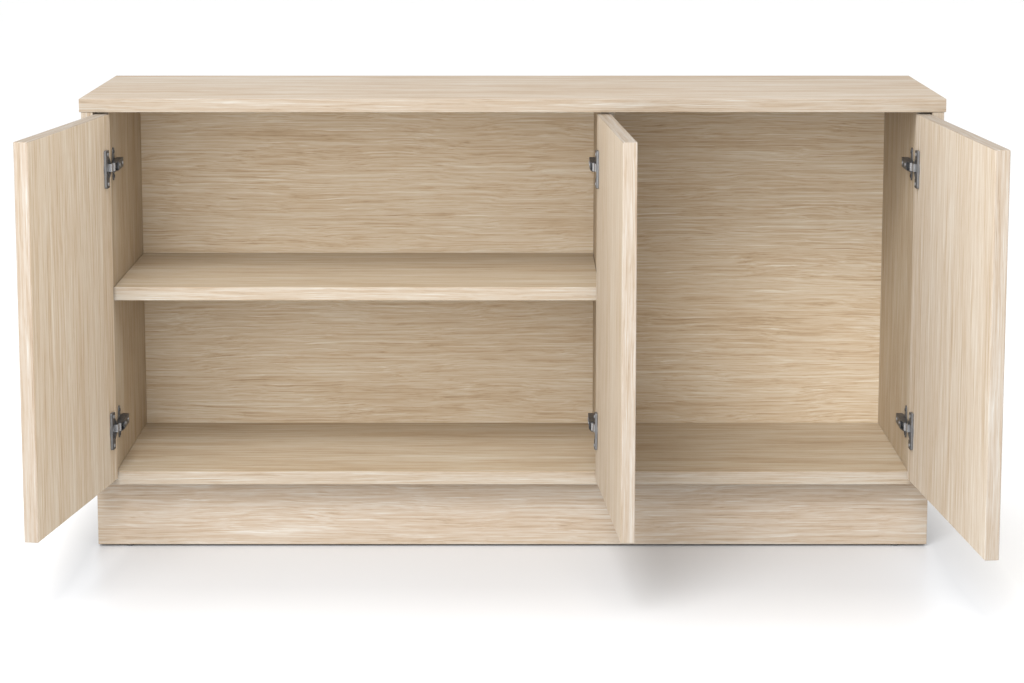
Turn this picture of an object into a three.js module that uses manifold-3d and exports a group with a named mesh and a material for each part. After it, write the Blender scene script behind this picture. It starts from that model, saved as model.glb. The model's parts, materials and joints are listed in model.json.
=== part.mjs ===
// Office credenza: three hinged doors, two bays and a recessed plinth, with the doors standing open.
// Millimetres, +Z up, the front faces -Y. The origin lies on the floor under the middle of the top.
import * as THREE from 'three';
import { mergeVertices } from 'three/addons/utils/BufferGeometryUtils.js';
import Module from 'manifold-3d';

const wasm = await Module();
wasm.setup();

// Top panel
const TOP_WIDTH = 1600;
const TOP_DEPTH = 480;
const TOP_THICKNESS = 25;
const TOP_SIDE_OVERHANG = 3;
const TOP_FRONT_OVERHANG = 2;

// Carcass
const END_THICKNESS = 22;
const SIDE_THICKNESS = 25;
const PARTITION_THICKNESS = 25;
const PARTITION_CENTRE_X = 176.5;
const BOTTOM_THICKNESS = 25;
const INNER_HEIGHT = 686;
const BACK_THICKNESS = 8;
const BACK_INSET = 12;
const GROOVE_DEPTH = 8;

// Shelf and the pins that carry it
const SHELF_THICKNESS = 25;
const SHELF_CLEAR_BELOW = 328;
const SHELF_SETBACK = 6;
const SHELF_END_GAP = 0.8;
const SHELF_REAR_GAP = 2;
const SHELF_PIN_RADIUS = 2.5;
const SHELF_PIN_SUNK = 9;
const SHELF_PIN_COLLAR = 3.6;
const SHELF_PIN_COLLAR_LENGTH = 1.5;
const SHELF_PIN_REACH = 11;
const SHELF_PIN_FROM_EDGE = 50;

// Plinth and glides
const PLINTH_HEIGHT = 130;
const PLINTH_THICKNESS = 19;
const PLINTH_FRONT_RECESS = 80;
const PLINTH_REAR_RECESS = 15;
const PLINTH_SIDE_RECESS = 1;
const GLIDE_HEIGHT = 3;
const GLIDE_RADIUS = 8;
const GLIDE_STEM_RADIUS = 2.5;
const GLIDE_STEM_LENGTH = 14;
const GLIDE_FROM_CORNER = 60;

// Doors
const DOOR_THICKNESS = 25;
const DOOR_EDGE_RADIUS = 2;
const DOOR_REVEAL = 4;
const DOOR_BACK_GAP = 3;
const DOOR_BOTTOM_LAP = 11;
const MIDDLE_DOOR_OVERLAY = 17;
const LEFT_DOOR_OPEN = 98.5;
const MIDDLE_DOOR_OPEN = 93.5;
const RIGHT_DOOR_OPEN = 94.5;

// Concealed hinges, seen in plan with the door shut: L runs along the door from its hinged edge,
// D runs from the door's inner face into the cabinet
const HINGE_FROM_DOOR_END = 100;
const PIVOT_L = 8;
const PIVOT_D = -16;
const CUP_RADIUS = 19.7;
const CUP_WALL = 1.2;
const CUP_DEPTH = 16.5;
const CUP_CENTRE_L = 23.2;
const CUP_CHEEK_END_L = 17;
const FLANGE_RADIUS = 22.2;
const FLANGE_THICKNESS = 1;
const WING_HEIGHT = 70;
const WING_WIDTH = 18.5;
const WING_FROM_CUP_CENTRE = 1.5;
const WING_THICKNESS = 4.8;
const WING_CORNER_RADIUS = 2.5;
const WING_EDGE_RADIUS = 0.5;
const CUP_PIN_L = 11.3;
const CUP_PIN_D = -5;
const ARM_PIN_FROM_PIVOT = 24;
const LINK_MATCH_ANGLE = 97;
const LINK_HEIGHT = 14.4;
const LINK_THICKNESS = 2.4;
const LINK_CRANK = 8.8;
const LINK_CRANK_SLANT = 4;
const ARM_EYE_RADIUS = 3.2;
const CUP_EYE_RADIUS = 2.1;
const ARM_PIN_RADIUS = 1.8;
const CUP_EYE_BORE = 1;
const ARM_SHEET = 1.3;
const ARM_NOSE_RADIUS = 3.4;
const ARM_TOP_FROM_PIN = 6.5;
const ARM_SHOULDER = 12;
const ARM_END = 72;
const ARM_SLOT_RADIUS = 2.2;
const ARM_SLOT_LENGTH = 6;
const ARM_SLOT_FROM_END = 12;
const PLATE_WING_THICKNESS = 2;
const PLATE_WING_WIDTH = 16;
const PLATE_WING_HEIGHT = 62;
const PLATE_LINE = 37;
const PLATE_BLOCK_START = 22;

// Shared clearances and softening; a cutter reaches past the faces that it cuts by CUT_PAST
const FIT = 0.3;
const CUT_PAST = 1;
const MERGE_DISTANCE = 1e-4;
const EDGE_RADIUS = 1;
const EDGE_STEPS = 2;
const CURVE_STEPS = 3;
const ROUND_STEPS = 24;
const PIN_STEPS = 14;

// Places worked out from the sizes above
const frontY = -TOP_DEPTH / 2;
const rearY = TOP_DEPTH / 2;
const doorFrontY = frontY + TOP_FRONT_OVERHANG;
const doorBackY = doorFrontY + DOOR_THICKNESS;
const carcassFrontY = doorBackY + DOOR_BACK_GAP;
const backFrontY = rearY - BACK_INSET - BACK_THICKNESS;
const endOuterX = TOP_WIDTH / 2 - TOP_SIDE_OVERHANG;
const endInnerX = endOuterX - END_THICKNESS;
const sideOuterX = endInnerX - FIT;
const sideInnerX = sideOuterX - SIDE_THICKNESS;
const partitionLeftX = PARTITION_CENTRE_X - PARTITION_THICKNESS / 2;
const partitionRightX = PARTITION_CENTRE_X + PARTITION_THICKNESS / 2;
const plinthLowZ = GLIDE_HEIGHT + FIT;
const plinthHighZ = plinthLowZ + PLINTH_HEIGHT;
const bottomLowZ = plinthHighZ + FIT;
const bottomHighZ = bottomLowZ + BOTTOM_THICKNESS;
const sideLowZ = bottomHighZ + FIT;
const sideHighZ = sideLowZ + INNER_HEIGHT;
const topLowZ = sideHighZ + FIT;
const topHighZ = topLowZ + TOP_THICKNESS;
const shelfLowZ = bottomHighZ + SHELF_CLEAR_BELOW;
const doorLowZ = bottomHighZ - DOOR_BOTTOM_LAP;
const doorHighZ = topLowZ - DOOR_REVEAL;

// Finishes
const woodFinish = { color: 0xd9cab4, roughness: 0.55, metalness: 0 };
const darkSteelFinish = { color: 0x50535a, roughness: 0.4, metalness: 0.8 };
const paleSteelFinish = { color: 0x9b9b9b, roughness: 0.35, metalness: 0.8 };
const plasticFinish = { color: 0x26262a, roughness: 0.6, metalness: 0 };

const group = new THREE.Group();
group.name = 'office_credenza';

function addMesh(parent, name, geometry, finish) {
  geometry.computeVertexNormals();
  const mesh = new THREE.Mesh(geometry, new THREE.MeshStandardMaterial(finish));
  mesh.name = name;
  parent.add(mesh);
  return mesh;
}

// Solid joins and cuts
function toSolid(geometry) {
  const bare = geometry.clone();
  bare.deleteAttribute('normal');
  bare.deleteAttribute('uv');
  const merged = mergeVertices(bare, MERGE_DISTANCE);
  return new wasm.Manifold(new wasm.Mesh({
    numProp: 3,
    vertProperties: merged.getAttribute('position').array,
    triVerts: Uint32Array.from(merged.getIndex().array),
  }));
}

function toGeometry(solid) {
  const mesh = solid.getMesh();
  const geometry = new THREE.BufferGeometry();
  geometry.setAttribute('position', new THREE.BufferAttribute(mesh.vertProperties, 3));
  geometry.setIndex(new THREE.BufferAttribute(mesh.triVerts, 1));
  return geometry;
}

function join(...geometries) {
  const solids = geometries.map(toSolid);
  return toGeometry(solids.reduce((whole, piece) => whole.add(piece)));
}

function cut(geometry, ...tools) {
  const solids = tools.map(toSolid);
  return toGeometry(solids.reduce((rest, tool) => rest.subtract(tool), toSolid(geometry)));
}

// The same solid for the other hand, with its faces turned back outwards
function mirrored(geometry) {
  const copy = geometry.index ? geometry.toNonIndexed() : geometry.clone();
  copy.scale(-1, 1, 1);
  const position = copy.getAttribute('position');
  const first = new THREE.Vector3();
  const second = new THREE.Vector3();
  for (let corner = 0; corner < position.count; corner += 3) {
    first.fromBufferAttribute(position, corner);
    second.fromBufferAttribute(position, corner + 1);
    position.setXYZ(corner, second.x, second.y, second.z);
    position.setXYZ(corner + 1, first.x, first.y, first.z);
  }
  copy.deleteAttribute('normal');
  return mergeVertices(copy, MERGE_DISTANCE);
}

// Plain forms
const X_AXIS = new THREE.Vector3(1, 0, 0);
const Y_AXIS = new THREE.Vector3(0, 1, 0);
const Z_AXIS = new THREE.Vector3(0, 0, 1);
const BOARD_AXES = {
  x: [Y_AXIS, Z_AXIS, X_AXIS],
  y: [Z_AXIS, X_AXIS, Y_AXIS],
  z: [X_AXIS, Y_AXIS, Z_AXIS],
};

function point(x, y, z) {
  return new THREE.Vector3(x, y, z);
}

function roundedRectangle(width, height, radius) {
  const shape = new THREE.Shape();
  shape.absarc(width - radius, radius, radius, -Math.PI / 2, 0);
  shape.absarc(width - radius, height - radius, radius, 0, Math.PI / 2);
  shape.absarc(radius, height - radius, radius, Math.PI / 2, Math.PI);
  shape.absarc(radius, radius, radius, Math.PI, Math.PI * 1.5);
  return shape;
}

function rectangle(width, height) {
  const shape = new THREE.Shape();
  shape.moveTo(0, 0);
  shape.lineTo(width, 0);
  shape.lineTo(width, height);
  shape.lineTo(0, height);
  return shape;
}

// An extrusion whose first and last edges are rounded by the given radius, starting at z = 0
function softExtrusion(shape, length, radius, steps = 1) {
  const geometry = new THREE.ExtrudeGeometry(shape, {
    depth: length - 2 * radius,
    bevelEnabled: radius > 0,
    bevelThickness: radius,
    bevelSize: radius,
    bevelOffset: -radius,
    bevelSegments: steps,
    curveSegments: CURVE_STEPS,
  });
  return geometry.translate(0, 0, radius);
}

// A shape drawn in two axes and pushed along the third, from the corner named low
function pushed(shape, low, across, length, radius = 0, steps = 1) {
  const [first, second, third] = BOARD_AXES[across];
  const geometry = softExtrusion(shape, length, radius, steps);
  geometry.applyMatrix4(new THREE.Matrix4().makeBasis(first, second, third));
  return geometry.translate(low.x, low.y, low.z);
}

// A board between two corners, thin along the axis named across, with softened edges
function board(low, high, across) {
  const size = high.clone().sub(low);
  const [first, second, third] = BOARD_AXES[across];
  const shape = rectangle(size.dot(first), size.dot(second));
  return pushed(shape, low, across, size.dot(third), EDGE_RADIUS, EDGE_STEPS);
}

function block(low, high) {
  const size = high.clone().sub(low);
  const middle = high.clone().add(low).multiplyScalar(0.5);
  return new THREE.BoxGeometry(size.x, size.y, size.z).translate(middle.x, middle.y, middle.z);
}

// A round bar along X, Y or Z from a start point
function bar(start, along, length, radius, steps) {
  const geometry = new THREE.CylinderGeometry(radius, radius, length, steps);
  geometry.translate(0, length / 2, 0);
  if (along === 'x') geometry.rotateZ(-Math.PI / 2);
  if (along === 'z') geometry.rotateX(Math.PI / 2);
  return geometry.translate(start.x, start.y, start.z);
}

// The groove that holds a back panel's edge, cut a fit wider than the panel
function backGroove(low, high) {
  return block(
    point(low.x, backFrontY - FIT, low.z),
    point(high.x, backFrontY + BACK_THICKNESS + FIT, high.z),
  );
}

// Top, with a groove under its rear for the back panels
function addTop() {
  const panel = board(point(-TOP_WIDTH / 2, frontY, topLowZ), point(TOP_WIDTH / 2, rearY, topHighZ), 'z');
  const groove = backGroove(
    point(-sideInnerX - GROOVE_DEPTH, 0, topLowZ - CUT_PAST),
    point(sideInnerX + GROOVE_DEPTH, 0, topLowZ + GROOVE_DEPTH),
  );
  addMesh(group, 'top_panel', cut(panel, groove), woodFinish);
}

// Outer end panels, whose front edges stand level with the closed doors
function addEndPanels() {
  for (const [name, innerX] of [['left', -endOuterX], ['right', endInnerX]]) {
    const low = point(innerX, doorFrontY, bottomLowZ);
    const high = point(innerX + END_THICKNESS, rearY, sideHighZ);
    addMesh(group, `${name}_end_panel`, board(low, high, 'x'), woodFinish);
  }
}

// Where the four shelf pins go: the wall they sit in and the way they point
const shelfPinPlaces = [];
for (const [wall, wallX, towards] of [['left', -sideInnerX, 1], ['right', partitionLeftX, -1]]) {
  for (const [end, y] of [
    ['front', carcassFrontY + SHELF_PIN_FROM_EDGE],
    ['rear', backFrontY - SHELF_PIN_FROM_EDGE],
  ]) {
    shelfPinPlaces.push({ name: `shelf_pin_${wall}_${end}`, wall, wallX, towards, y });
  }
}
const shelfPinZ = shelfLowZ - FIT - SHELF_PIN_RADIUS;

function shelfPinHole(place) {
  const depth = SHELF_PIN_SUNK + FIT;
  const startX = place.towards > 0 ? place.wallX - depth : place.wallX - CUT_PAST;
  const start = point(startX, place.y, shelfPinZ);
  return bar(start, 'x', depth + CUT_PAST, SHELF_PIN_RADIUS + FIT, PIN_STEPS);
}

// Carcass walls: two sides and the partition, grooved for the back panels and bored for the shelf pins
function addWalls() {
  const walls = [
    { name: 'left_side', lowX: -sideOuterX, highX: -sideInnerX, grooves: ['high'], pins: 'left' },
    {
      name: 'partition',
      lowX: partitionLeftX,
      highX: partitionRightX,
      grooves: ['low', 'high'],
      pins: 'right',
    },
    { name: 'right_side', lowX: sideInnerX, highX: sideOuterX, grooves: ['low'], pins: null },
  ];
  for (const wall of walls) {
    const low = point(wall.lowX, carcassFrontY, sideLowZ);
    const high = point(wall.highX, rearY, sideHighZ);
    const panel = board(low, high, 'x');
    const cutters = wall.grooves.map((face) => {
      const startX = face === 'low' ? wall.lowX - CUT_PAST : wall.highX - GROOVE_DEPTH;
      return backGroove(
        point(startX, 0, sideLowZ - CUT_PAST),
        point(startX + GROOVE_DEPTH + CUT_PAST, 0, sideHighZ + CUT_PAST),
      );
    });
    for (const place of shelfPinPlaces) {
      if (place.wall === wall.pins) cutters.push(shelfPinHole(place));
    }
    addMesh(group, `${wall.name}_panel`, cut(panel, ...cutters), woodFinish);
  }
}

// Bottom, which runs under all three walls
function addBottom() {
  const panel = board(
    point(-sideOuterX, carcassFrontY, bottomLowZ),
    point(sideOuterX, rearY, bottomHighZ),
    'z',
  );
  const groove = backGroove(
    point(-sideInnerX - GROOVE_DEPTH, 0, bottomHighZ - GROOVE_DEPTH),
    point(sideInnerX + GROOVE_DEPTH, 0, bottomHighZ + CUT_PAST),
  );
  addMesh(group, 'bottom_panel', cut(panel, groove), woodFinish);
}

// Back panels, one behind each bay, held in the grooves all round
function addBacks() {
  const bays = [
    ['left_back_panel', -sideInnerX, partitionLeftX],
    ['right_back_panel', partitionRightX, sideInnerX],
  ];
  const held = GROOVE_DEPTH - FIT;
  for (const [name, lowX, highX] of bays) {
    const low = point(lowX - held, backFrontY, bottomHighZ - held);
    const high = point(highX + held, backFrontY + BACK_THICKNESS, topLowZ + held);
    addMesh(group, name, block(low, high), woodFinish);
  }
}

// Shelf in the left bay, and its pins: a shank in the wall, a collar against it and a round rest
function addShelf() {
  const low = point(-sideInnerX + SHELF_END_GAP, carcassFrontY + SHELF_SETBACK, shelfLowZ);
  const high = point(
    partitionLeftX - SHELF_END_GAP,
    backFrontY - SHELF_REAR_GAP,
    shelfLowZ + SHELF_THICKNESS,
  );
  addMesh(group, 'adjustable_shelf', board(low, high, 'z'), woodFinish);
  for (const place of shelfPinPlaces) {
    const profile = [
      [0, -SHELF_PIN_SUNK],
      [SHELF_PIN_RADIUS, -SHELF_PIN_SUNK],
      [SHELF_PIN_RADIUS, FIT],
      [SHELF_PIN_COLLAR, FIT],
      [SHELF_PIN_COLLAR, FIT + SHELF_PIN_COLLAR_LENGTH],
      [SHELF_PIN_RADIUS, FIT + SHELF_PIN_COLLAR_LENGTH],
      [SHELF_PIN_RADIUS, SHELF_PIN_REACH],
      [0, SHELF_PIN_REACH],
    ];
    const pin = new THREE.LatheGeometry(profile.map(([r, h]) => new THREE.Vector2(r, h)), PIN_STEPS);
    pin.rotateZ(-place.towards * Math.PI / 2);
    pin.translate(place.wallX, place.y, shelfPinZ);
    const trimmed = cut(pin, block(
      point(place.wallX - SHELF_PIN_REACH, place.y - SHELF_PIN_COLLAR, shelfLowZ - FIT),
      point(place.wallX + SHELF_PIN_REACH, place.y + SHELF_PIN_COLLAR, shelfLowZ + SHELF_PIN_COLLAR),
    ));
    addMesh(group, place.name, trimmed, paleSteelFinish);
  }
}

// Plinth: front and rear rails with two returns and a cross rail between them, on five glides
function addPlinth() {
  const outerX = endOuterX - PLINTH_SIDE_RECESS;
  const plinthFrontY = frontY + PLINTH_FRONT_RECESS;
  const plinthRearY = rearY - PLINTH_REAR_RECESS;
  const betweenFrontY = plinthFrontY + PLINTH_THICKNESS + FIT;
  const betweenRearY = plinthRearY - PLINTH_THICKNESS - FIT;
  const middle = PLINTH_THICKNESS / 2;
  const cornerX = outerX - GLIDE_FROM_CORNER;
  const rails = [
    ['plinth_front_rail', -outerX, outerX, plinthFrontY, plinthFrontY + PLINTH_THICKNESS, 'y'],
    ['plinth_rear_rail', -outerX, outerX, plinthRearY - PLINTH_THICKNESS, plinthRearY, 'y'],
    ['plinth_left_return', -outerX, -outerX + PLINTH_THICKNESS, betweenFrontY, betweenRearY, 'x'],
    ['plinth_right_return', outerX - PLINTH_THICKNESS, outerX, betweenFrontY, betweenRearY, 'x'],
    ['plinth_cross_rail', -middle, middle, betweenFrontY, betweenRearY, 'x'],
  ];
  const glides = [
    ['glide_front_left', 'plinth_front_rail', -cornerX, plinthFrontY + middle],
    ['glide_front_right', 'plinth_front_rail', cornerX, plinthFrontY + middle],
    ['glide_rear_left', 'plinth_rear_rail', -cornerX, plinthRearY - middle],
    ['glide_rear_right', 'plinth_rear_rail', cornerX, plinthRearY - middle],
    ['glide_middle', 'plinth_cross_rail', 0, 0],
  ];
  for (const [name, lowX, highX, lowY, highY, across] of rails) {
    const rail = board(point(lowX, lowY, plinthLowZ), point(highX, highY, plinthHighZ), across);
    const bores = glides.filter((glide) => glide[1] === name).map(([, , x, y]) => bar(
      point(x, y, plinthLowZ - CUT_PAST),
      'z',
      GLIDE_STEM_LENGTH + FIT + CUT_PAST,
      GLIDE_STEM_RADIUS + FIT,
      PIN_STEPS,
    ));
    addMesh(group, name, bores.length ? cut(rail, ...bores) : rail, woodFinish);
  }
  const profile = [
    [0, 0],
    [GLIDE_RADIUS - EDGE_RADIUS, 0],
    [GLIDE_RADIUS, EDGE_RADIUS],
    [GLIDE_RADIUS, GLIDE_HEIGHT],
    [GLIDE_STEM_RADIUS, GLIDE_HEIGHT],
    [GLIDE_STEM_RADIUS, GLIDE_HEIGHT + GLIDE_STEM_LENGTH],
    [0, GLIDE_HEIGHT + GLIDE_STEM_LENGTH],
  ];
  for (const [name, , x, y] of glides) {
    const glide = new THREE.LatheGeometry(profile.map(([r, h]) => new THREE.Vector2(r, h)), PIN_STEPS);
    addMesh(group, name, glide.rotateX(Math.PI / 2).translate(x, y, 0), plasticFinish);
  }
}

// Hinge plan: the door turns about the pivot, while a cranked link swings about the arm's pin
// and keeps its free eye at the cup's pin place with the door shut and at the matching angle
const pivot = new THREE.Vector2(PIVOT_L, PIVOT_D);
const cupPin = new THREE.Vector2(CUP_PIN_L, CUP_PIN_D);
const matchAngle = THREE.MathUtils.degToRad(LINK_MATCH_ANGLE);
const cupPinFromPivot = cupPin.clone().sub(pivot);
const armPin = cupPinFromPivot.clone().normalize().multiplyScalar(ARM_PIN_FROM_PIVOT)
  .rotateAround(new THREE.Vector2(), -matchAngle / 2).add(pivot);
const cupPinOpen = cupPin.clone().rotateAround(pivot, -matchAngle);
const linkAngleShut = cupPin.clone().sub(armPin).angle();
const linkAngleOpen = cupPinOpen.clone().sub(armPin).angle();
const linkRatio = (linkAngleOpen - linkAngleShut) / matchAngle;
// The crank stands straight out of the open door, so its corner is turned back to the shut place
const crankOpen = new THREE.Vector2(0, LINK_CRANK).rotateAround(
  new THREE.Vector2(),
  THREE.MathUtils.degToRad(LINK_CRANK_SLANT),
);
const linkTurnInDoor = matchAngle * (1 + linkRatio);
const crankCorner = crankOpen.rotateAround(new THREE.Vector2(), -linkTurnInDoor).add(cupPin);

// A flat strap with round ends between two points of the hinge plan, centred on z = 0
function strap(start, end, thickness, height) {
  const radius = thickness / 2;
  const heading = end.clone().sub(start).angle();
  const shape = new THREE.Shape();
  shape.absarc(end.x, end.y, radius, heading - Math.PI / 2, heading + Math.PI / 2);
  shape.absarc(start.x, start.y, radius, heading + Math.PI / 2, heading + Math.PI * 1.5);
  return softExtrusion(shape, height, 0).translate(0, 0, -height / 2);
}

function uprightBar(place, radius, height) {
  return bar(point(place.x, place.y, -height / 2), 'z', height, radius, PIN_STEPS);
}

function linkForm() {
  const body = join(
    strap(cupPin, crankCorner, LINK_THICKNESS, LINK_HEIGHT),
    strap(crankCorner, armPin, LINK_THICKNESS, LINK_HEIGHT),
    uprightBar(armPin, ARM_EYE_RADIUS, LINK_HEIGHT),
    uprightBar(cupPin, CUP_EYE_RADIUS, LINK_HEIGHT),
  );
  const boreHeight = LINK_HEIGHT + 2 * CUT_PAST;
  return cut(
    body,
    uprightBar(armPin, ARM_PIN_RADIUS + FIT, boreHeight),
    uprightBar(cupPin, CUP_EYE_BORE, boreHeight),
  );
}

// A cheek inside the cup, filling it from the wall to the upper or lower face of the link
function cupCheek(side) {
  const radius = CUP_RADIUS - CUP_WALL / 2;
  const innerZ = LINK_HEIGHT / 2 + FIT;
  const endAngle = Math.asin((CUP_CHEEK_END_L - CUP_CENTRE_L) / radius);
  const wallAngle = -Math.acos(innerZ / radius);
  const [from, to] = [endAngle, wallAngle].map((angle) => (side > 0 ? angle : Math.PI - angle));
  const shape = new THREE.Shape();
  shape.absarc(0, CUP_CENTRE_L, radius, from, to, side > 0);
  shape.lineTo(side * innerZ, CUP_CHEEK_END_L);
  const depth = CUP_DEPTH - CUP_WALL / 2;
  return pushed(shape, point(0, -depth, 0), 'y', depth);
}

// The cup in the door: a turned cup with its rim, two cheeks and a thick wing that takes the screws
function cupForm() {
  const mouth = CUP_RADIUS - CUP_WALL;
  const profile = [
    [0, -CUP_DEPTH],
    [CUP_RADIUS, -CUP_DEPTH],
    [CUP_RADIUS, FIT],
    [FLANGE_RADIUS, FIT],
    [FLANGE_RADIUS, FIT + FLANGE_THICKNESS],
    [mouth, FIT + FLANGE_THICKNESS],
    [mouth, CUP_WALL - CUP_DEPTH],
    [0, CUP_WALL - CUP_DEPTH],
  ];
  const cup = new THREE.LatheGeometry(profile.map(([r, h]) => new THREE.Vector2(r, h)), ROUND_STEPS);
  cup.translate(CUP_CENTRE_L, 0, 0);
  const wing = pushed(
    roundedRectangle(WING_HEIGHT, WING_WIDTH, WING_CORNER_RADIUS),
    point(CUP_CENTRE_L + WING_FROM_CUP_CENTRE, FIT, -WING_HEIGHT / 2),
    'y',
    WING_THICKNESS,
    WING_EDGE_RADIUS,
  );
  const opening = bar(
    point(CUP_CENTRE_L, FIT - CUT_PAST, 0),
    'y',
    WING_THICKNESS + 2 * CUT_PAST,
    mouth,
    ROUND_STEPS,
  );
  return join(cup, cupCheek(1), cupCheek(-1), cut(wing, opening));
}

function cupBore() {
  const depth = CUP_DEPTH + FIT;
  return bar(point(CUP_CENTRE_L, -depth, 0), 'y', depth + CUT_PAST, CUP_RADIUS + FIT, ROUND_STEPS);
}

// The arm: two tapered cheeks joined by a web along their back, with the link's pin across the nose
function armForm(overlay) {
  const backL = armPin.x + ARM_TOP_FROM_PIN;
  const footL = overlay + FIT + PLATE_WING_THICKNESS + FIT;
  const innerHeight = LINK_HEIGHT + 2 * FIT;
  const shoulderD = DOOR_BACK_GAP + ARM_SHOULDER;
  const endD = DOOR_BACK_GAP + ARM_END;
  const cheek = new THREE.Shape();
  cheek.absarc(armPin.x, armPin.y, ARM_NOSE_RADIUS, Math.PI, Math.PI * 2);
  cheek.lineTo(backL, shoulderD);
  cheek.lineTo(backL, endD);
  cheek.lineTo(footL, endD);
  cheek.lineTo(footL, shoulderD);
  const cheeks = [innerHeight / 2, -innerHeight / 2 - ARM_SHEET].map(
    (lowZ) => softExtrusion(cheek, ARM_SHEET, 0).translate(0, 0, lowZ),
  );
  const outerHeight = innerHeight + 2 * ARM_SHEET;
  const web = block(
    point(backL - ARM_SHEET, shoulderD, -outerHeight / 2),
    point(backL, endD, outerHeight / 2),
  );
  const slotD = endD - ARM_SLOT_FROM_END;
  const slotEnds = [slotD - ARM_SLOT_LENGTH / 2, slotD + ARM_SLOT_LENGTH / 2];
  const slotStartL = backL - 2 * ARM_SHEET;
  const slotLength = 3 * ARM_SHEET;
  const slot = join(
    ...slotEnds.map((d) => bar(point(slotStartL, d, 0), 'x', slotLength, ARM_SLOT_RADIUS, PIN_STEPS)),
    block(
      point(slotStartL, slotEnds[0], -ARM_SLOT_RADIUS),
      point(slotStartL + slotLength, slotEnds[1], ARM_SLOT_RADIUS),
    ),
  );
  return cut(join(...cheeks, web, uprightBar(armPin, ARM_PIN_RADIUS, outerHeight)), slot);
}

// The mounting plate: an upright wing on the wall and the block that the arm clips over
function plateForm(overlay) {
  const wallL = overlay + FIT;
  const lineD = DOOR_BACK_GAP + PLATE_LINE;
  const wing = pushed(
    roundedRectangle(PLATE_WING_WIDTH, PLATE_WING_HEIGHT, PLATE_WING_WIDTH / 2 - FIT),
    point(wallL, lineD - PLATE_WING_WIDTH / 2, -PLATE_WING_HEIGHT / 2),
    'x',
    PLATE_WING_THICKNESS,
  );
  const ridgeTopL = armPin.x + ARM_TOP_FROM_PIN - ARM_SHEET - FIT;
  const ridge = block(
    point(wallL, DOOR_BACK_GAP + PLATE_BLOCK_START, -LINK_HEIGHT / 2),
    point(ridgeTopL, DOOR_BACK_GAP + ARM_END - ARM_SHEET, LINK_HEIGHT / 2),
  );
  return join(wing, ridge);
}

// Doors, shut sizes first: the hinged edge, the way the door runs from it and its hinge wall
const leftDoorLowX = -endInnerX + DOOR_REVEAL;
const middleDoorHighX = partitionLeftX + MIDDLE_DOOR_OVERLAY;
const pairDoorWidth = (middleDoorHighX - leftDoorLowX - DOOR_REVEAL) / 2;
const rightDoorHighX = endInnerX - DOOR_REVEAL;
const rightDoorWidth = rightDoorHighX - middleDoorHighX - DOOR_REVEAL;
const sideOverlay = rightDoorHighX - sideInnerX;
const doors = [
  {
    name: 'left',
    edgeX: leftDoorLowX,
    hand: 1,
    width: pairDoorWidth,
    overlay: sideOverlay,
    open: LEFT_DOOR_OPEN,
  },
  {
    name: 'middle',
    edgeX: middleDoorHighX,
    hand: -1,
    width: pairDoorWidth,
    overlay: MIDDLE_DOOR_OVERLAY,
    open: MIDDLE_DOOR_OPEN,
  },
  {
    name: 'right',
    edgeX: rightDoorHighX,
    hand: -1,
    width: rightDoorWidth,
    overlay: sideOverlay,
    open: RIGHT_DOOR_OPEN,
  },
];
const hingeHeights = [
  ['upper', doorHighZ - HINGE_FROM_DOOR_END],
  ['lower', doorLowZ + HINGE_FROM_DOOR_END],
];

// A hinge form moved so that a point of the plan becomes its origin, for the door's hand
function seated(form, origin, z, hand) {
  form.translate(-origin.x, -origin.y, z);
  return hand < 0 ? mirrored(form) : form;
}

// A group that turns about a point of a door's hinge plan
function turnedGroup(door, place, angle) {
  const turned = new THREE.Group();
  turned.position.set(door.edgeX + door.hand * place.x, doorBackY + place.y, 0);
  turned.rotation.z = door.hand * angle;
  group.add(turned);
  return turned;
}

function addDoor(door) {
  const openAngle = THREE.MathUtils.degToRad(door.open);
  const still = turnedGroup(door, new THREE.Vector2(), 0);
  const leaf = turnedGroup(door, pivot, -openAngle);
  const links = turnedGroup(door, armPin, linkRatio * openAngle);
  leaf.name = `${door.name}_door_pivot`;
  links.name = `${door.name}_link_pivot`;

  const outline = roundedRectangle(door.width, DOOR_THICKNESS, DOOR_EDGE_RADIUS);
  const slab = pushed(outline, point(0, -DOOR_THICKNESS, doorLowZ), 'z', doorHighZ - doorLowZ, EDGE_RADIUS);
  const bores = hingeHeights.map(([, z]) => cupBore().translate(0, 0, z));
  addMesh(leaf, `${door.name}_door`, seated(cut(slab, ...bores), pivot, 0, door.hand), woodFinish);

  const wallOrigin = new THREE.Vector2();
  for (const [level, z] of hingeHeights) {
    const hinge = `${door.name}_${level}_hinge`;
    const cup = seated(cupForm(), pivot, z, door.hand);
    const link = seated(linkForm(), armPin, z, door.hand);
    const arm = seated(armForm(door.overlay), wallOrigin, z, door.hand);
    const plate = seated(plateForm(door.overlay), wallOrigin, z, door.hand);
    addMesh(leaf, `${hinge}_cup`, cup, darkSteelFinish);
    addMesh(links, `${hinge}_link`, link, paleSteelFinish);
    addMesh(still, `${hinge}_arm`, arm, darkSteelFinish);
    addMesh(still, `${hinge}_plate`, plate, darkSteelFinish);
  }
}

addTop();
addEndPanels();
addWalls();
addBottom();
addBacks();
addShelf();
addPlinth();
doors.forEach(addDoor);

export default group;
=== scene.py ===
# Looks for the office credenza: pale washed oak, hinge steel, screws, floor, light and camera.
# Metres, +Z up, the doors face -Y.
import json
import math
from collections import namedtuple

import bpy
import bmesh
from mathutils import Matrix, Vector


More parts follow.
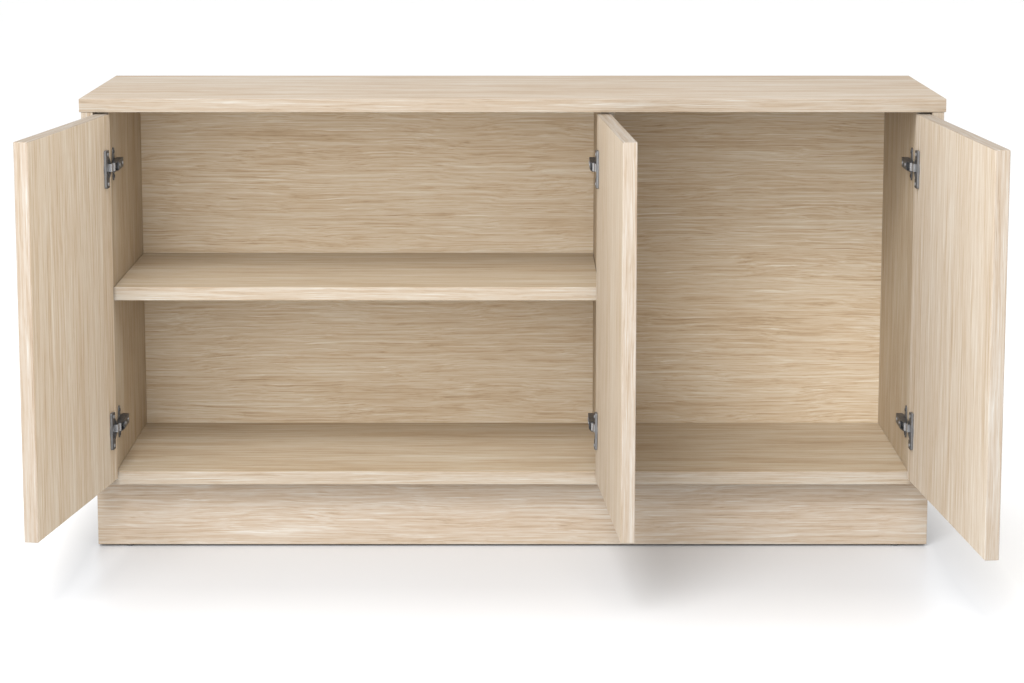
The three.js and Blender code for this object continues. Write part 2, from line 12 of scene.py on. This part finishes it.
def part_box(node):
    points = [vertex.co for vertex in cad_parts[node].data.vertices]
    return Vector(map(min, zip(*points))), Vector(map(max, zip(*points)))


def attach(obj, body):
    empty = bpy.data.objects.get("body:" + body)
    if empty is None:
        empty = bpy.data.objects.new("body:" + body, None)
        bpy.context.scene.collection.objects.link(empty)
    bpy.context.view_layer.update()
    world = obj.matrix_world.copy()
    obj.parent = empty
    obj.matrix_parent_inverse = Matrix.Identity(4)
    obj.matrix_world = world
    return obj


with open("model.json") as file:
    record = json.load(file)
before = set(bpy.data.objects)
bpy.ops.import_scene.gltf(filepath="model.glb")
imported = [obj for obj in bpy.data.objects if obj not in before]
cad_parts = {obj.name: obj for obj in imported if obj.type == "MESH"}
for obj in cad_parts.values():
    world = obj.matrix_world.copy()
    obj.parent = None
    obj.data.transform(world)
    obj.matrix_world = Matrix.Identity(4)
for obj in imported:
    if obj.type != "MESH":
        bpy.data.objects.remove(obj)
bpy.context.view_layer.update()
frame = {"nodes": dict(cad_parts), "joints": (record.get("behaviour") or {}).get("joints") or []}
nodes = frame["nodes"]

X_WAY, Y_WAY, Z_WAY = (1, 0, 0), (0, 1, 0), (0, 0, 1)

# Camera, level across and looking down a little
CAMERA_PLACE = (-0.001, -5.2337, 1.3601)
CAMERA_PITCH_DEG = 8.989
CAMERA_FOCAL_PX = 2717.0
CAMERA_SHIFT_Y = -0.08
IMAGE_WIDTH_PX = 1024
SENSOR_WIDTH_MM = 36.0

# Light: a bright even room and three large soft lamps in front, two of them left of the middle
ROOM_COLOUR = (1, 1, 1, 1)
ROOM_STRENGTH = 1.05
LAMP_AIM = (0, 0, 0.45)
LAMPS = (
    {"name": "top_lamp", "place": (0, -3.536, 3.986), "size": 2.4, "power": 104},
    {"name": "high_lamp", "place": (-1.362, -3.743, 3.793), "size": 2.4, "power": 158},
    {"name": "low_lamp", "place": (-1.057, -4.975, 1.531), "size": 3.0, "power": 146},
)

# A noise pattern: its pitch per metre in three directions, its octaves and how strong the finer ones are
Noise = namedtuple("Noise", "pitch detail roughness")
# Its middle value, and the span in which most of its values lie
NOISE_MIDDLE = 0.5
NOISE_SPAN = (0.3, 0.7)

# Oak tones, as linear colours from the brown of the pores to the cream of the palest streaks
OAK_STOPS = (
    (0.0, (0.332, 0.238, 0.154)),
    (0.3, (0.452, 0.342, 0.237)),
    (0.5, (0.50, 0.402, 0.305)),
    (0.75, (0.555, 0.476, 0.387)),
    (1.0, (0.625, 0.568, 0.495)),
)
OAK_MIDDLE_TONE = 0.5

# Patterns in the oak have their pitch along the grain first, then twice across it. These two kinds make
# its lines waver, each by a number of the board's waves.
DRIFT = Noise((1.7, 6, 6), 2, 0.5)
DRIFT_WAVES = 2
RIPPLES = (
    {"noise": Noise((5, 19, 19), 1, 0.5), "waves": 0.7},
    {"noise": Noise((13, 52, 52), 1, 0.5), "waves": 0.22},
)
# These move its tone, each by its reach to and fro or by its depth one way
PATCHES = Noise((1.3, 13, 13), 2, 0.5)
PATCH_REACH = 0.38
RINGS = Noise((3.4, 170, 170), 4, 0.6)
RING_REACH = 1.1
FIBRES = Noise((9, 470, 470), 3, 0.62)
FIBRE_REACH = 1.15
PALE_LINES = Noise((6.5, 290, 290), 2, 0.5)
PALE_LINE_DEPTH = 0.34
PORES = Noise((36, 950, 950), 1, 0.5)
PORE_DEPTH = 0.2
LONG_LINES = Noise((4.2, 290, 290), 2, 0.5)
SHORT_LINES = Noise((6, 340, 340), 2, 0.5)
# Lines and pores begin where their noise passes the first value, and are full from the second
LINE_START = 0.6
LINE_FULL = 0.72

# Grain of each kind of board: how far its lines waver in metres, the wide figure on its faces and how
# far that moves the tone, and its dark lines and their depth
BACK_GRAIN = {
    "wave": 0.018,
    "figure": Noise((3, 36, 36), 4, 0.62),
    "reach": 0.25,
    "lines": LONG_LINES,
    "depth": 0.26,
}
RAIL_GRAIN = {**BACK_GRAIN, "wave": 0.014}
LYING_GRAIN = {
    "wave": 0.006,
    "figure": Noise((3, 28, 28), 4, 0.62),
    "reach": 1.0,
    "lines": SHORT_LINES,
    "depth": 0.32,
}
STANDING_GRAIN = {**LYING_GRAIN, "figure": Noise((6, 34, 34), 4, 0.62), "reach": 0.8}
FRONT_GRAIN = {**LYING_GRAIN, "wave": 0.005, "figure": Noise((4.5, 90, 90), 4, 0.62), "reach": 0.6}

# Shades of a board's face, its other face and its edges, by which the oak tones are multiplied. Besides
# the oak's own paleness they hold painted light and shade: boards inside and the back panels' front
# faces are painted paler, and the edges, the back panels' rear faces and the boards outside darker.
TOP_TONE_AND_PAINTED_LIGHT = ((0.74, 0.75, 0.76), (0.74, 0.75, 0.76), (0.56, 0.575, 0.585))
SHOW_TONE_AND_PAINTED_LIGHT = ((0.725, 0.742, 0.765), (0.725, 0.742, 0.765), (0.62, 0.64, 0.66))
INSIDE_TONE_AND_PAINTED_LIGHT = ((0.875, 0.884, 0.843), (0.875, 0.884, 0.843), (0.66, 0.695, 0.725))
BACK_TONE_AND_PAINTED_LIGHT = ((1.0, 1.016, 0.98), (0.75, 0.76, 0.75), (0.75, 0.76, 0.75))
# Doors: inner faces painted paler, by a different amount on each door, and outer faces and edges painted
# darker, as painted light and shade
DOOR_INNER_TONE_AND_PAINTED_LIGHT = {
    "left": (1.026, 1.051, 1.049),
    "middle": (0.907, 0.934, 0.948),
    "right": (0.988, 1.035, 1.08),
}
DOOR_OUTER_TONE_AND_PAINTED_SHADE = (0.62, 0.635, 0.65)
DOOR_EDGE_TONE_AND_PAINTED_SHADE = (0.595, 0.624, 0.665)

# Past these cosines to the board's own directions, a surface counts as its face or as its cut end
FACE_COSINE = 0.85
END_COSINE = 0.7

# Feel of the oak: a rougher finish on the paler fibres, and pores cut deeper than the fibres stand
OAK_FIBRE_SPAN = (0.25, 0.75)
OAK_ROUGHNESS = (0.54, 0.7)
OAK_SPECULAR = 0.15
OAK_PORE_RELIEF = 6
OAK_RELIEF = 0.00025
OAK_BUMP = 0.3

# Steel: drawn lines along Z, soft blotches, and tones from dark to pale
STEEL_LINES = Noise((900, 900, 60), 2, 0.5)
STEEL_BLOTCHES = Noise((170, 170, 170), 2, 0.5)
STEEL_METALLIC = 0.5
STEEL_ROUGHNESS = (0.36, 0.5)
PALE_STEEL_ROUGHNESS = (0.34, 0.46)
STEEL_RELIEF = 0.00001
STEEL_BUMP = 0.4
DARK_STEEL_TONES = ((0.038, 0.039, 0.043), (0.068, 0.07, 0.076))
EDGE_STEEL_TONES = ((0.128, 0.13, 0.134), (0.17, 0.172, 0.177))
PLATE_STEEL_TONES = ((0.08, 0.081, 0.085), (0.125, 0.127, 0.132))
PALE_STEEL_TONES = ((0.23, 0.23, 0.235), (0.29, 0.29, 0.295))
# Below this cosine to the given direction, a surface counts as an edge
STEEL_EDGE_COSINE = 0.6

# Glide plastic: a fine spark texture under slow clouds
PLASTIC_SPARK = Noise((1800, 1800, 1800), 2, 0.6)
PLASTIC_CLOUDS = Noise((120, 120, 120), 2, 0.5)
PLASTIC_TONES = ((0.012, 0.012, 0.013), (0.026, 0.026, 0.028))
PLASTIC_ROUGHNESS = (0.5, 0.72)
PLASTIC_RELIEF = 0.00006
PLASTIC_BUMP = 0.6

# Floor, pale, with a darker zone painted around the object as painted shadow, and paler still away from
# it; the change is quickest past the object's ends, where the paler floor lightens the doors' cast
# shadows as painted light
FLOOR_SIZE = 40
FLOOR_HEIGHT = -0.0005
FLOOR_CLOUDS = Noise((1.3, 1.3, 1.3), 3, 0.5)
NEAR_FLOOR_PAINTED_SHADOW_TONES = ((0.565, 0.572, 0.587), (0.585, 0.592, 0.607))
FAR_FLOOR_TONES = ((0.94, 0.94, 0.94), (0.96, 0.96, 0.96))
FLOOR_ROUGHNESS = (0.32, 0.4)
FLOOR_SPECULAR = 0.3
FLOOR_HALF_WIDTH = 0.79
FLOOR_HALF_DEPTH = 0.24
FLOOR_END_HASTE = 10
FLOOR_NEAR_END = 0.2
FLOOR_FAR_START = 1.3

# Hinge plan: where a door's pivot lies from the door's hinged edge and from its back face
DOORS = ("left", "middle", "right")
LEVELS = ("upper", "lower")
PIVOT_FROM_EDGE = 0.008
PIVOT_FROM_BACK = 0.016

# Screws on the hinges: places on the plan from the door's hinged edge and out from its back face
CUP_SCREW_ALONG = 0.0332
CUP_SCREW_OUT = 0.0051
CUP_SCREW_SPREAD = 0.0275
WING_THICKNESS = 0.0023
WING_SCREW_OUT = 0.040
WING_SCREW_SPREAD = 0.023
ARM_SCREW_OUTS = (0.029, 0.063)

# One screw: a low dome, whose rim stands at a share of its height, with a cross recess. Two steps reach
# the corner of a recess arm, and the slack covers rounding.
SCREW_RADIUS = 0.0036
SCREW_HEIGHT = 0.0014
SCREW_SUNK = 0.0004
SCREW_STEPS = 56
SCREW_DOME_RINGS = 5
SCREW_RIM_SHARE = 0.5
SCREW_SHARP_DEG = 40
RECESS_REACH = 0.0023
RECESS_DEPTH = 0.0011
RECESS_FLOOR_SHARE = 0.6
RECESS_CORNER = 2 * math.tau / SCREW_STEPS
RECESS_CORNER_SLACK = 1.001


# Shader helpers

def new_material(name):
    material = bpy.data.materials.new(name)
    material.use_nodes = True
    tree = material.node_tree
    tree.nodes.clear()
    output = tree.nodes.new("ShaderNodeOutputMaterial")
    shader = tree.nodes.new("ShaderNodeBsdfPrincipled")
    tree.links.new(shader.outputs["BSDF"], output.inputs["Surface"])
    return material, tree, shader


def coordinates(tree):
    node = tree.nodes.new("ShaderNodeTexCoord")
    return node.outputs["Object"], node.outputs["Normal"]


def dot(tree, vector, direction):
    node = tree.nodes.new("ShaderNodeVectorMath")
    node.operation = "DOT_PRODUCT"
    tree.links.new(vector, node.inputs[0])
    node.inputs[1].default_value = direction
    return node.outputs["Value"]


def combine(tree, x, y, z):
    node = tree.nodes.new("ShaderNodeCombineXYZ")
    for socket, value in zip(node.inputs, (x, y, z)):
        tree.links.new(value, socket)
    return node.outputs["Vector"]


def math_node(tree, operation, first, second):
    node = tree.nodes.new("ShaderNodeMath")
    node.operation = operation
    for socket, value in zip(node.inputs, (first, second)):
        if isinstance(value, (int, float)):
            socket.default_value = value
        else:
            tree.links.new(value, socket)
    return node.outputs["Value"]


def magnitude(tree, value):
    return math_node(tree, "ABSOLUTE", value, 0)


def total(tree, first, *others):
    for other in others:
        first = math_node(tree, "ADD", first, other)
    return first


def average(tree, first, second):
    return math_node(tree, "MULTIPLY", total(tree, first, second), 0.5)


def stretched_noise(tree, vector, pattern):
    stretch = tree.nodes.new("ShaderNodeVectorMath")
    stretch.operation = "MULTIPLY"
    stretch.inputs[1].default_value = pattern.pitch
    tree.links.new(vector, stretch.inputs[0])
    noise = tree.nodes.new("ShaderNodeTexNoise")
    noise.inputs["Scale"].default_value = 1.0
    noise.inputs["Detail"].default_value = pattern.detail
    noise.inputs["Roughness"].default_value = pattern.roughness
    tree.links.new(stretch.outputs["Vector"], noise.inputs["Vector"])
    return noise.outputs["Fac"]


def centred(tree, value, reach):
    return math_node(tree, "MULTIPLY", math_node(tree, "SUBTRACT", value, NOISE_MIDDLE), reach)


def mixed(tree, kind, factor, first, second):
    node = tree.nodes.new("ShaderNodeMix")
    node.data_type = kind
    sockets = [socket for socket in node.inputs if socket.enabled]
    for socket, value in zip(sockets, (factor, first, second)):
        tree.links.new(value, socket)
    return next(socket for socket in node.outputs if socket.enabled)


def colour_ramp(tree, value, stops):
    ramp = tree.nodes.new("ShaderNodeValToRGB")
    elements = ramp.color_ramp.elements
    while len(elements) < len(stops):
        elements.new(0.5)
    for element, (position, colour) in zip(elements, stops):
        element.position = position
        element.color = (*colour, 1)
    tree.links.new(value, ramp.inputs["Fac"])
    return ramp.outputs["Color"]


def two_tones(tree, value, tones):
    return colour_ramp(tree, value, list(zip(NOISE_SPAN, tones)))


def value_range(tree, value, span, to_span):
    node = tree.nodes.new("ShaderNodeMapRange")
    for name, number in zip(("From Min", "From Max", "To Min", "To Max"), (*span, *to_span)):
        node.inputs[name].default_value = number
    tree.links.new(value, node.inputs["Value"])
    return node.outputs["Result"]


def set_roughness(tree, shader, value, span, roughness):
    tree.links.new(value_range(tree, value, span, roughness), shader.inputs["Roughness"])


def bump(tree, height, shader, distance, strength):
    node = tree.nodes.new("ShaderNodeBump")
    node.inputs["Distance"].default_value = distance
    node.inputs["Strength"].default_value = strength
    tree.links.new(height, node.inputs["Height"])
    tree.links.new(node.outputs["Normal"], shader.inputs["Normal"])


# Washed oak

# Place in the grain: along it first, and along the band that covers the board on its cut ends
def grain_place(tree, place, normal, along, band, facing):
    on_along, on_band, on_facing = (dot(tree, place, way) for way in (along, band, facing))
    on_face = combine(tree, on_along, on_band, on_facing)
    on_end = combine(tree, on_band, on_facing, on_along)
    is_end = math_node(tree, "GREATER_THAN", magnitude(tree, dot(tree, normal, along)), END_COSINE)
    return mixed(tree, "VECTOR", is_end, on_face, on_end)


# The same place with its lines wavering to and fro
def waved_place(tree, place, wave):
    drift = centred(tree, stretched_noise(tree, place, DRIFT), DRIFT_WAVES * wave)
    for ripple in RIPPLES:
        noise = stretched_noise(tree, place, ripple["noise"])
        drift = total(tree, drift, centred(tree, noise, ripple["waves"] * wave))
    parts = tree.nodes.new("ShaderNodeSeparateXYZ")
    tree.links.new(place, parts.inputs["Vector"])
    return combine(
        tree,
        parts.outputs["X"],
        total(tree, parts.outputs["Y"], drift),
        total(tree, parts.outputs["Z"], drift),
    )


def lines(tree, place, pattern, depth):
    return value_range(tree, stretched_noise(tree, place, pattern), (LINE_START, LINE_FULL), (0, depth))


def shaded(colour, shade):
    return [channel * share for channel, share in zip(colour, shade)]


def oak_colour(tree, tone, shade):
    return colour_ramp(tree, tone, [(position, shaded(colour, shade)) for position, colour in OAK_STOPS])


# The figure runs along one direction of the board, and along another on the bands that cover its cut
# ends. The shades, which hold the oak's paleness together with painted light and shade, are those of the
# face that looks along x band, of the face behind it and of the edges.
def oak(name, along, band, grain, tone_and_painted_light):
    along = Vector(along).normalized()
    band = Vector(band).normalized()
    facing = along.cross(band)
    material, tree, shader = new_material(name)
    place, normal = coordinates(tree)
    waved = waved_place(tree, grain_place(tree, place, normal, along, band, facing), grain["wave"])
    cosine = dot(tree, normal, facing)
    is_face = math_node(tree, "GREATER_THAN", cosine, FACE_COSINE)
    is_other = math_node(tree, "LESS_THAN", cosine, -FACE_COSINE)

    figure = centred(tree, stretched_noise(tree, waved, grain["figure"]), grain["reach"])
    fibres = stretched_noise(tree, waved, FIBRES)
    pores = lines(tree, waved, PORES, -PORE_DEPTH)
    tone = total(
        tree,
        centred(tree, stretched_noise(tree, waved, RINGS), RING_REACH),
        centred(tree, fibres, FIBRE_REACH),
        centred(tree, stretched_noise(tree, waved, PATCHES), PATCH_REACH),
        math_node(tree, "MULTIPLY", figure, total(tree, is_face, is_other)),
        lines(tree, waved, PALE_LINES, PALE_LINE_DEPTH),
        lines(tree, waved, grain["lines"], -grain["depth"]),
        pores,
        OAK_MIDDLE_TONE,
    )
    # Each face of the board and its edges take their own painted light or shade
    face_colour, other_colour, edge_colour = (oak_colour(tree, tone, shade) for shade in tone_and_painted_light)
    colour = mixed(tree, "RGBA", is_face, edge_colour, face_colour)
    colour = mixed(tree, "RGBA", is_other, colour, other_colour)
    tree.links.new(colour, shader.inputs["Base Color"])

    set_roughness(tree, shader, fibres, OAK_FIBRE_SPAN, OAK_ROUGHNESS)
    shader.inputs["Specular IOR Level"].default_value = OAK_SPECULAR
    relief = total(tree, fibres, math_node(tree, "MULTIPLY", pores, OAK_PORE_RELIEF))
    bump(tree, relief, shader, OAK_RELIEF, OAK_BUMP)
    return material


# Plated steel: fine drawn lines along Z, soft blotches and small height changes
def steel_finish(name, roughness):
    material, tree, shader = new_material(name)
    place, normal = coordinates(tree)
    drawn = stretched_noise(tree, place, STEEL_LINES)
    blotches = stretched_noise(tree, place, STEEL_BLOTCHES)
    tone = average(tree, drawn, blotches)
    set_roughness(tree, shader, blotches, NOISE_SPAN, roughness)
    shader.inputs["Metallic"].default_value = STEEL_METALLIC
    bump(tree, drawn, shader, STEEL_RELIEF, STEEL_BUMP)
    return material, tree, shader, normal, tone


def steel(name, tones, roughness):
    material, tree, shader, _, tone = steel_finish(name, roughness)
    tree.links.new(two_tones(tree, tone, tones), shader.inputs["Base Color"])
    return material


# Dark steel whose edges, the faces that look across the given direction, are paler
def edged_steel(name, face, tones, edge_tones, roughness):
    material, tree, shader, normal, tone = steel_finish(name, roughness)
    is_edge = math_node(tree, "LESS_THAN", magnitude(tree, dot(tree, normal, face)), STEEL_EDGE_COSINE)
    face_colour = two_tones(tree, tone, tones)
    edge_colour = two_tones(tree, tone, edge_tones)
    colour = mixed(tree, "RGBA", is_edge, face_colour, edge_colour)
    tree.links.new(colour, shader.inputs["Base Color"])
    return material


# Moulded plastic with a fine spark texture
def plastic(name, tones):
    material, tree, shader = new_material(name)
    place, _ = coordinates(tree)
    spark = stretched_noise(tree, place, PLASTIC_SPARK)
    clouds = stretched_noise(tree, place, PLASTIC_CLOUDS)
    tree.links.new(two_tones(tree, clouds, tones), shader.inputs["Base Color"])
    set_roughness(tree, shader, spark, NOISE_SPAN, PLASTIC_ROUGHNESS)
    bump(tree, spark, shader, PLASTIC_RELIEF, PLASTIC_BUMP)
    return material


# Hinge plan: each door is drawn shut, then turned to the way it stands at rest
joints = {joint["name"]: joint for joint in frame["joints"]}


def door_turn(door):
    joint = joints[f"{door}_door_swing"]
    return Matrix.Rotation(math.radians(-joint["range_deg"][0]), 3, joint["axis"])


# 1 for a door that reaches right from its hinges when shut, and -1 for one that reaches left
def door_hand(door):
    return -joints[f"{door}_door_swing"]["axis"][2]


# A place by the shut door: along it from its hinged edge, out from its back face, and up
def on_plan(door, along, out, height):
    pivot = joints[f"{door}_door_swing"]["pos_m"]
    x = pivot[0] + door_hand(door) * (along - PIVOT_FROM_EDGE)
    y = pivot[1] + PIVOT_FROM_BACK + out
    return Vector((x, y, height))


def turned(door, point):
    pivot = Vector(joints[f"{door}_door_swing"]["pos_m"])
    return pivot + door_turn(door) @ (point - pivot)


# Finishes and where they go
# These finishes are one oak in lit and shaded copies, set apart by the painted light and shade of their
# shade tables
oak_top = oak("oak_top", X_WAY, Y_WAY, LYING_GRAIN, TOP_TONE_AND_PAINTED_LIGHT)
oak_lying = oak("oak_lying_boards", X_WAY, Y_WAY, LYING_GRAIN, INSIDE_TONE_AND_PAINTED_LIGHT)
oak_back = oak("oak_back_panels", X_WAY, Z_WAY, BACK_GRAIN, BACK_TONE_AND_PAINTED_LIGHT)
oak_rail = oak("oak_plinth_rails", X_WAY, Z_WAY, RAIL_GRAIN, SHOW_TONE_AND_PAINTED_LIGHT)
oak_return = oak("oak_plinth_returns", Y_WAY, Z_WAY, RAIL_GRAIN, SHOW_TONE_AND_PAINTED_LIGHT)
oak_end = oak("oak_end_panels", Z_WAY, Y_WAY, FRONT_GRAIN, SHOW_TONE_AND_PAINTED_LIGHT)
oak_standing = oak("oak_standing_boards", Z_WAY, Y_WAY, STANDING_GRAIN, INSIDE_TONE_AND_PAINTED_LIGHT)
dark_steel = steel("hinge_steel_dark", DARK_STEEL_TONES, STEEL_ROUGHNESS)
plate_steel = steel("hinge_steel_plate", PLATE_STEEL_TONES, STEEL_ROUGHNESS)
pale_steel = steel("hinge_steel_pale", PALE_STEEL_TONES, PALE_STEEL_ROUGHNESS)
black_plastic = plastic("glide_plastic", PLASTIC_TONES)

node_finish = {
    "top_panel": oak_top,
    "bottom_panel": oak_lying,
    "adjustable_shelf": oak_lying,
    "left_back_panel": oak_back,
    "right_back_panel": oak_back,
    "plinth_front_rail": oak_rail,
    "plinth_rear_rail": oak_rail,
    "plinth_left_return": oak_return,
    "plinth_right_return": oak_return,
    "plinth_cross_rail": oak_return,
    "left_end_panel": oak_end,
    "right_end_panel": oak_end,
    "left_side_panel": oak_standing,
    "right_side_panel": oak_standing,
    "partition_panel": oak_standing,
}
for door in DOORS:
    turn = door_turn(door)
    along_door = turn @ Vector(X_WAY)
    out_of_door = turn @ Vector(Y_WAY)
    # The door's inner face, outer face and edges take their painted light and shade
    tone_and_painted_light = (DOOR_INNER_TONE_AND_PAINTED_LIGHT[door], DOOR_OUTER_TONE_AND_PAINTED_SHADE, DOOR_EDGE_TONE_AND_PAINTED_SHADE)
    node_finish[f"{door}_door"] = oak(f"oak_{door}_door", Z_WAY, along_door, FRONT_GRAIN, tone_and_painted_light)
    cup_steel = edged_steel(
        f"hinge_steel_{door}_cup", out_of_door, DARK_STEEL_TONES, EDGE_STEEL_TONES, STEEL_ROUGHNESS,
    )
    for level in LEVELS:
        node_finish[f"{door}_{level}_hinge_cup"] = cup_steel
for name in nodes:
    if name.endswith("_arm"):
        node_finish[name] = dark_steel
    elif name.endswith("_plate"):
        node_finish[name] = plate_steel
    elif name.endswith("_link") or name.startswith("shelf_pin"):
        node_finish[name] = pale_steel
    elif name.startswith("glide"):
        node_finish[name] = black_plastic
for name, finish in node_finish.items():
    slots = nodes[name].data.materials
    slots.clear()
    slots.append(finish)


# Screws

# From the screw's axis to the lip of its cross recess
def recess_radius(angle):
    folded = abs((angle + math.pi / 4) % (math.pi / 2) - math.pi / 4)
    if folded <= RECESS_CORNER * RECESS_CORNER_SLACK:
        return RECESS_REACH / math.cos(folded)
    return RECESS_REACH * math.tan(RECESS_CORNER) / math.sin(folded)


def dome_height(radius):
    fall = (1 - SCREW_RIM_SHARE**2) * (radius / SCREW_RADIUS) ** 2
    return SCREW_HEIGHT * math.sqrt(1 - fall)


def add_screw(mesh, place):
    angles = [math.tau * step / SCREW_STEPS for step in range(SCREW_STEPS)]
    lips = [recess_radius(angle) for angle in angles]
    rings = [
        [(lip * RECESS_FLOOR_SHARE, dome_height(lip) - RECESS_DEPTH) for lip in lips],
        [(lip, dome_height(lip)) for lip in lips],
    ]
    for ring in range(1, SCREW_DOME_RINGS + 1):
        share = ring / SCREW_DOME_RINGS
        radii = [lip + (SCREW_RADIUS - lip) * share for lip in lips]
        rings.append([(radius, dome_height(radius)) for radius in radii])
    rings.append([(SCREW_RADIUS, -SCREW_SUNK) for _ in angles])
    rows = []
    for ring in rings:
        row = []
        for angle, (radius, height) in zip(angles, ring):
            point = Vector((radius * math.cos(angle), radius * math.sin(angle), height))
            row.append(mesh.verts.new(place @ point))
        rows.append(row)
    for inner, outer in zip(rows, rows[1:]):
        for step in range(SCREW_STEPS):
            after = (step + 1) % SCREW_STEPS
            mesh.faces.new((inner[step], outer[step], outer[after], inner[after]))
    mesh.faces.new(rows[0])
    mesh.faces.new(reversed(rows[-1]))


def add_screws(name, points, facing, body, finish):
    turn = Vector(facing).to_track_quat("Z", "Y").to_matrix().to_4x4()
    mesh = bmesh.new()
    for point in points:
        add_screw(mesh, Matrix.Translation(point) @ turn)
    data = bpy.data.meshes.new(name)
    mesh.to_mesh(data)
    mesh.free()
    data.shade_smooth()
    data.set_sharp_from_angle(angle=math.radians(SCREW_SHARP_DEG))
    data.materials.append(finish)
    screws = bpy.data.objects.new(name, data)
    bpy.context.scene.collection.objects.link(screws)
    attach(screws, body)


def wall_face(hinge, door):
    low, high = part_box(f"{hinge}_plate")
    return low[0] if door_hand(door) > 0 else high[0]


def arm_face(hinge, door):
    low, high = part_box(f"{hinge}_arm")
    return high[0] if door_hand(door) > 0 else low[0]


def middle_height(node):
    low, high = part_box(node)
    return (low[2] + high[2]) / 2


for door in DOORS:
    door_body = f"{door}_door"
    out_of_door = door_turn(door) @ Vector(Y_WAY)
    inwards = Vector((door_hand(door), 0, 0))
    for level in LEVELS:
        hinge = f"{door}_{level}_hinge"
        height = middle_height(f"{hinge}_plate")
        cup_points = []
        wing_points = []
        for side in (-1, 1):
            cup_place = on_plan(door, CUP_SCREW_ALONG, CUP_SCREW_OUT, height + side * CUP_SCREW_SPREAD)
            cup_points.append(turned(door, cup_place))
            wing_place = on_plan(door, 0, WING_SCREW_OUT, height + side * WING_SCREW_SPREAD)
            wing_place.x = wall_face(hinge, door) + door_hand(door) * WING_THICKNESS
            wing_points.append(wing_place)
        arm_points = []
        for out in ARM_SCREW_OUTS:
            arm_place = on_plan(door, 0, out, height)
            arm_place.x = arm_face(hinge, door)
            arm_points.append(arm_place)
        add_screws(f"{hinge}_cup_screws", cup_points, out_of_door, door_body, pale_steel)
        add_screws(f"{hinge}_plate_screws", wing_points, inwards, "carcass", dark_steel)
        add_screws(f"{hinge}_arm_screws", arm_points, inwards, "carcass", pale_steel)


# Floor

# How far a place lies past the object's ground plan, either way along a direction
def past(tree, place, way, half):
    return math_node(tree, "SUBTRACT", magnitude(tree, dot(tree, place, way)), half)


def floor_with_painted_shadow():
    material, tree, shader = new_material("floor_with_painted_shadow")
    place, _ = coordinates(tree)
    clouds = stretched_noise(tree, place, FLOOR_CLOUDS)
    past_ends = math_node(tree, "MULTIPLY", past(tree, place, X_WAY, FLOOR_HALF_WIDTH), FLOOR_END_HASTE)
    past_sides = past(tree, place, Y_WAY, FLOOR_HALF_DEPTH)
    away = math_node(tree, "MAXIMUM", past_ends, past_sides)
    far_share = value_range(tree, away, (FLOOR_NEAR_END, FLOOR_FAR_START), (0, 1))
    # Darker near the object: painted shadow that fades to the plain pale floor away from it
    painted_shadow_colour = two_tones(tree, clouds, NEAR_FLOOR_PAINTED_SHADOW_TONES)
    far_colour = two_tones(tree, clouds, FAR_FLOOR_TONES)
    tree.links.new(mixed(tree, "RGBA", far_share, painted_shadow_colour, far_colour), shader.inputs["Base Color"])
    set_roughness(tree, shader, clouds, NOISE_SPAN, FLOOR_ROUGHNESS)
    shader.inputs["Specular IOR Level"].default_value = FLOOR_SPECULAR
    return material


def add_floor():
    bpy.ops.mesh.primitive_plane_add(size=FLOOR_SIZE, location=(0, 0, FLOOR_HEIGHT))
    floor = bpy.context.object
    floor.name = "floor"
    floor.data.materials.append(floor_with_painted_shadow())


# Light
def add_lamp(name, place, size, power):
    lamp = bpy.data.lights.new(name, "AREA")
    lamp.shape = "DISK"
    lamp.size = size
    lamp.energy = power
    holder = bpy.data.objects.new(name, lamp)
    holder.location = place
    holder.rotation_euler = (Vector(LAMP_AIM) - Vector(place)).to_track_quat("-Z", "Y").to_euler()
    bpy.context.scene.collection.objects.link(holder)


def add_light():
    world = bpy.data.worlds.new("studio")
    world.use_nodes = True
    background = world.node_tree.nodes["Background"]
    background.inputs["Color"].default_value = ROOM_COLOUR
    background.inputs["Strength"].default_value = ROOM_STRENGTH
    bpy.context.scene.world = world
    for lamp in LAMPS:
        add_lamp(**lamp)


# Camera
def add_camera():
    data = bpy.data.cameras.new("camera")
    data.sensor_width = SENSOR_WIDTH_MM
    data.lens = CAMERA_FOCAL_PX / IMAGE_WIDTH_PX * SENSOR_WIDTH_MM
    data.shift_y = CAMERA_SHIFT_Y
    camera = bpy.data.objects.new("camera", data)
    camera.location = CAMERA_PLACE
    camera.rotation_euler = (math.radians(90 - CAMERA_PITCH_DEG), 0, 0)
    bpy.context.scene.collection.objects.link(camera)
    bpy.context.scene.camera = camera


add_floor()
add_light()
add_camera()
bpy.context.scene.view_settings.view_transform = "Standard"
